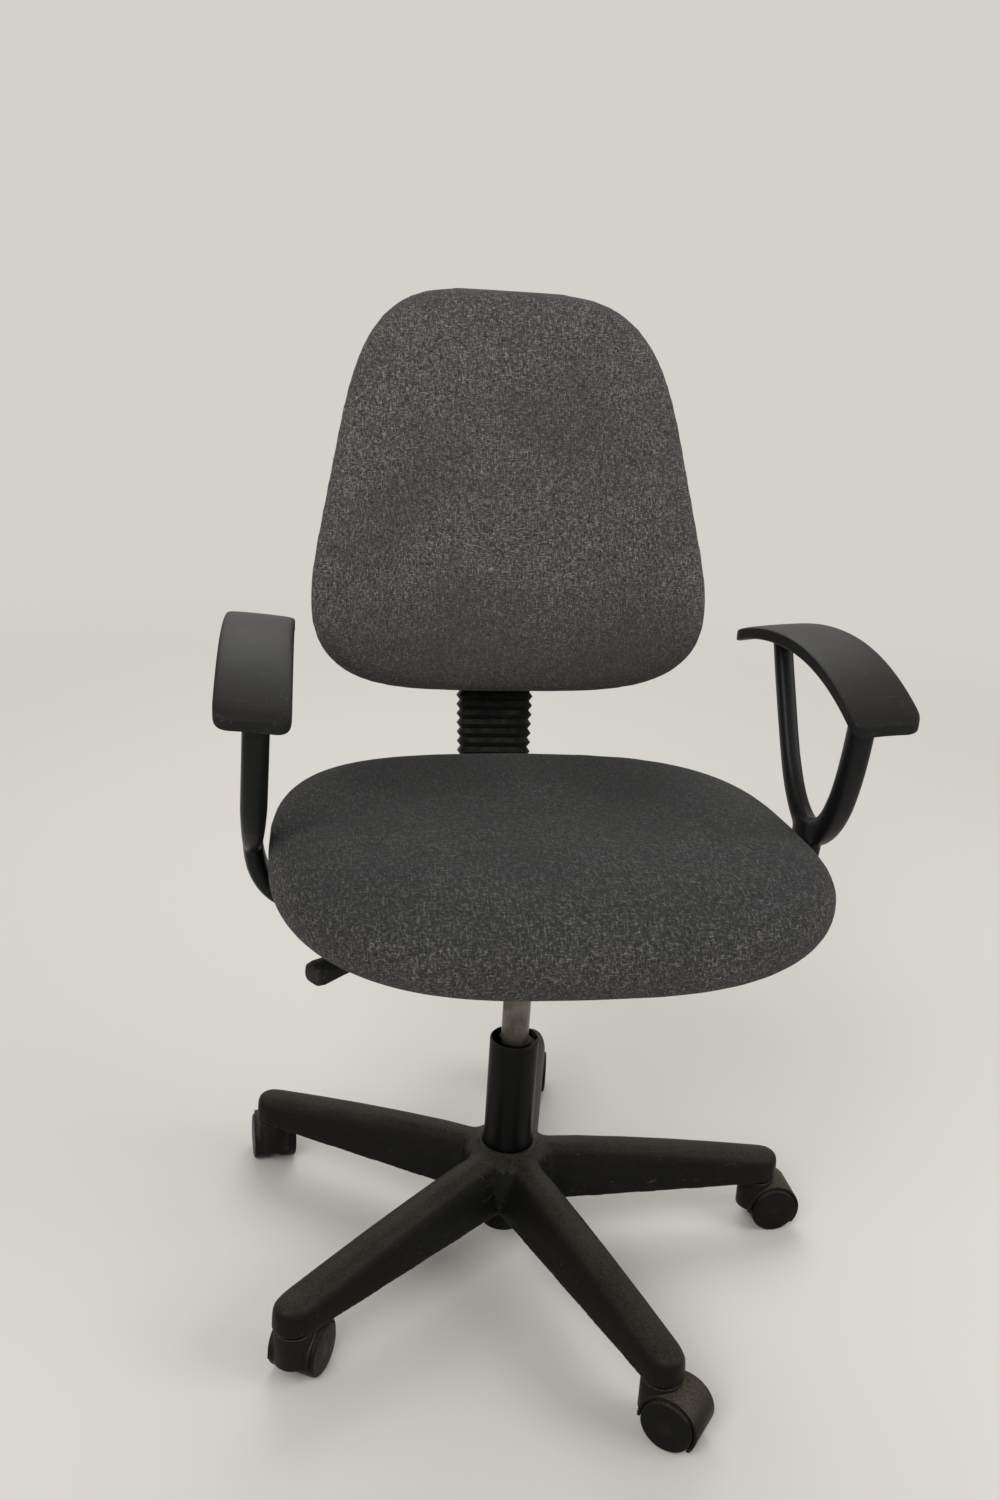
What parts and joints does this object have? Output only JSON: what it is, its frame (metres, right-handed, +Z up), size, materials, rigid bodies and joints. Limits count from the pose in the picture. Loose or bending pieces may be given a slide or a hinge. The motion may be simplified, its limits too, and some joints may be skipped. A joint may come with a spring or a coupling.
{
  "type": "swivel office chair",
  "caption": "Fabric-covered swivel office chair with loop armrests, a gas lift, a reclining height-adjustable back and a star base on swivelling twin-wheel casters",
  "frame": {"origin": "the point on the floor under the middle of the lift column", "axes": "+Z up along the lift column; the sitter faces -Y; +X is to the sitter's left"},
  "size_m": [0.6212, 0.6445, 0.9647],
  "materials": {
    "nylon": "glass-filled nylon, dusty, worn at the edges",
    "caster_plastic": "hard black nylon under dust",
    "arm_plastic": "satin black polyurethane, scuffed",
    "plastic": "black moulded plastic",
    "rubber": "soft black rubber",
    "black_steel": "satin black paint",
    "tube_steel": "dull drawn steel, smudged with grease",
    "steel": "zinc-plated steel",
    "plywood": "bare beech plywood",
    "dust_cloth": "thin non-woven cloth",
    "seat_fabric": "dark grey melange weave, worn",
    "back_fabric": "dark grey melange weave"
  },
  "bodies": {
    "base": {"star_base": "nylon", "column_tube": "black_steel", "guide_bush": "plastic", "thrust_bearing": "steel"},
    "piston": {"piston_rod": "steel", "bump_stop": "rubber", "column_clip": "steel"},
    "seat": {"pressure_tube": "tube_steel", "mechanism_housing": "black_steel", "mechanism_plate": "black_steel", "recline_axle": "steel", "recline_spring": "steel", "seat_board": "plywood", "seat_cushion": "seat_fabric", "dust_cloth": "dust_cloth", "seat_bolts": "steel", "arm_frame_left": "arm_plastic", "arm_frame_right": "arm_plastic", "arm_pad_left": "arm_plastic", "arm_pad_right": "arm_plastic", "arm_bolts": "steel", "pad_screws": "steel"},
    "valve": {"valve_pin": "steel"},
    "gas_lever": {"gas_lever": "steel", "gas_paddle": "plastic"},
    "recline_lever": {"recline_lever": "steel", "recline_paddle": "plastic"},
    "back_bar": {"back_bar": "black_steel", "bellows": "rubber"},
    "backrest": {"slide_bracket": "black_steel", "back_panel": "plastic", "back_cushion": "back_fabric", "back_shell": "plastic", "back_screws": "steel"},
    "height_knob": {"height_knob": "plastic"},
    "caster_1": {"caster_stem_1": "steel", "caster_hood_1": "caster_plastic", "caster_axle_1": "steel"},
    "wheel_left_1": {"caster_wheel_left_1": "caster_plastic"},
    "wheel_right_1": {"caster_wheel_right_1": "caster_plastic"},
    "caster_2": {"caster_stem_2": "steel", "caster_hood_2": "caster_plastic", "caster_axle_2": "steel"},
    "wheel_left_2": {"caster_wheel_left_2": "caster_plastic"},
    "wheel_right_2": {"caster_wheel_right_2": "caster_plastic"},
    "caster_3": {"caster_stem_3": "steel", "caster_hood_3": "caster_plastic", "caster_axle_3": "steel"},
    "wheel_left_3": {"caster_wheel_left_3": "caster_plastic"},
    "wheel_right_3": {"caster_wheel_right_3": "caster_plastic"},
    "caster_4": {"caster_stem_4": "steel", "caster_hood_4": "caster_plastic", "caster_axle_4": "steel"},
    "wheel_left_4": {"caster_wheel_left_4": "caster_plastic"},
    "wheel_right_4": {"caster_wheel_right_4": "caster_plastic"},
    "caster_5": {"caster_stem_5": "steel", "caster_hood_5": "caster_plastic", "caster_axle_5": "steel"},
    "wheel_left_5": {"caster_wheel_left_5": "caster_plastic"},
    "wheel_right_5": {"caster_wheel_right_5": "caster_plastic"}
  },
  "joints": [
    {"name": "seat_swivel", "type": "hinge", "parent": "base", "child": "piston", "pos_m": [0, 0, 0.246], "axis": [0, 0, 1], "continuous": true},
    {"name": "seat_lift", "type": "slide", "parent": "piston", "child": "seat", "axis": [0, 0, 1], "range_m": [-0.115, 0.005]},
    {"name": "gas_lever_tilt", "type": "hinge", "parent": "seat", "child": "gas_lever", "pos_m": [-0.039, 0, 0.4188], "axis": [0, 1, 0], "range_deg": [0, 5], "stiffness_Nm_per_rad": 3, "springref_deg": -2.86},
    {"name": "valve_press", "type": "slide", "parent": "seat", "child": "valve", "axis": [0, 0, 1], "range_m": [-0.0045, 0], "stiffness_N_per_m": 0.02, "springref_m": 1.29},
    {"name": "recline_lever_tilt", "type": "hinge", "parent": "seat", "child": "recline_lever", "pos_m": [-0.039, 0.046, 0.409], "axis": [0, 1, 0], "range_deg": [0, 6]},
    {"name": "back_recline", "type": "hinge", "parent": "seat", "child": "back_bar", "pos_m": [0, 0.072, 0.4], "axis": [1, 0, 0], "range_deg": [-12, 10]},
    {"name": "back_height", "type": "slide", "parent": "back_bar", "child": "backrest", "axis": [0, 0.225, 0.9744], "range_m": [-0.035, 0.035], "deforming": ["bellows"]},
    {"name": "knob_turn", "type": "hinge", "parent": "backrest", "child": "height_knob", "pos_m": [0, 0.2625, 0.67113], "axis": [0, 0.9744, -0.225], "range_deg": [0, 720]},
    {"name": "caster_swivel_1", "type": "hinge", "parent": "base", "child": "caster_1", "pos_m": [0.28483, 0.00995, 0.05], "axis": [0, 0, 1], "continuous": true},
    {"name": "wheel_left_spin_1", "type": "hinge", "parent": "caster_1", "child": "wheel_left_1", "pos_m": [0.30183, 0.00995, 0.025], "axis": [0, 1, 0], "continuous": true},
    {"name": "wheel_right_spin_1", "type": "hinge", "parent": "caster_1", "child": "wheel_right_1", "pos_m": [0.30183, 0.00995, 0.025], "axis": [0, 1, 0], "continuous": true},
    {"name": "caster_swivel_2", "type": "hinge", "parent": "base", "child": "caster_2", "pos_m": [0.07856, 0.27396, 0.05], "axis": [0, 0, 1], "continuous": true},
    {"name": "wheel_left_spin_2", "type": "hinge", "parent": "caster_2", "child": "wheel_left_2", "pos_m": [0.08209, 0.29059, 0.025], "axis": [-0.9781, 0.2079, 0], "continuous": true},
    {"name": "wheel_right_spin_2", "type": "hinge", "parent": "caster_2", "child": "wheel_right_2", "pos_m": [0.08209, 0.29059, 0.025], "axis": [-0.9781, 0.2079, 0], "continuous": true},
    {"name": "caster_swivel_3", "type": "hinge", "parent": "base", "child": "caster_3", "pos_m": [-0.23628, 0.15937, 0.05], "axis": [0, 0, 1], "continuous": true},
    {"name": "wheel_left_spin_3", "type": "hinge", "parent": "caster_3", "child": "wheel_left_3", "pos_m": [-0.23776, 0.1763, 0.025], "axis": [-0.9962, -0.0872, 0], "continuous": true},
    {"name": "wheel_right_spin_3", "type": "hinge", "parent": "caster_3", "child": "wheel_right_3", "pos_m": [-0.23776, 0.1763, 0.025], "axis": [-0.9962, -0.0872, 0], "continuous": true},
    {"name": "caster_swivel_4", "type": "hinge", "parent": "base", "child": "caster_4", "pos_m": [-0.22458, -0.17546, 0.05], "axis": [0, 0, 1], "continuous": true},
    {"name": "wheel_left_spin_4", "type": "hinge", "parent": "caster_4", "child": "wheel_left_4", "pos_m": [-0.21608, -0.16074, 0.025], "axis": [-0.866, 0.5, 0], "continuous": true},
    {"name": "wheel_right_spin_4", "type": "hinge", "parent": "caster_4", "child": "wheel_right_4", "pos_m": [-0.21608, -0.16074, 0.025], "axis": [-0.866, 0.5, 0], "continuous": true},
    {"name": "caster_swivel_5", "type": "hinge", "parent": "base", "child": "caster_5", "pos_m": [0.09748, -0.26781, 0.05], "axis": [0, 0, 1], "continuous": true},
    {"name": "wheel_left_spin_5", "type": "hinge", "parent": "caster_5", "child": "wheel_left_5", "pos_m": [0.1105, -0.27874, 0.025], "axis": [0.6428, 0.766, 0], "continuous": true},
    {"name": "wheel_right_spin_5", "type": "hinge", "parent": "caster_5", "child": "wheel_right_5", "pos_m": [0.1105, -0.27874, 0.025], "axis": [0.6428, 0.766, 0], "continuous": true}
  ],
  "couplings": [
    {"joint": "valve_press", "follows": "gas_lever_tilt", "m_per_rad": -0.039}
  ]
}
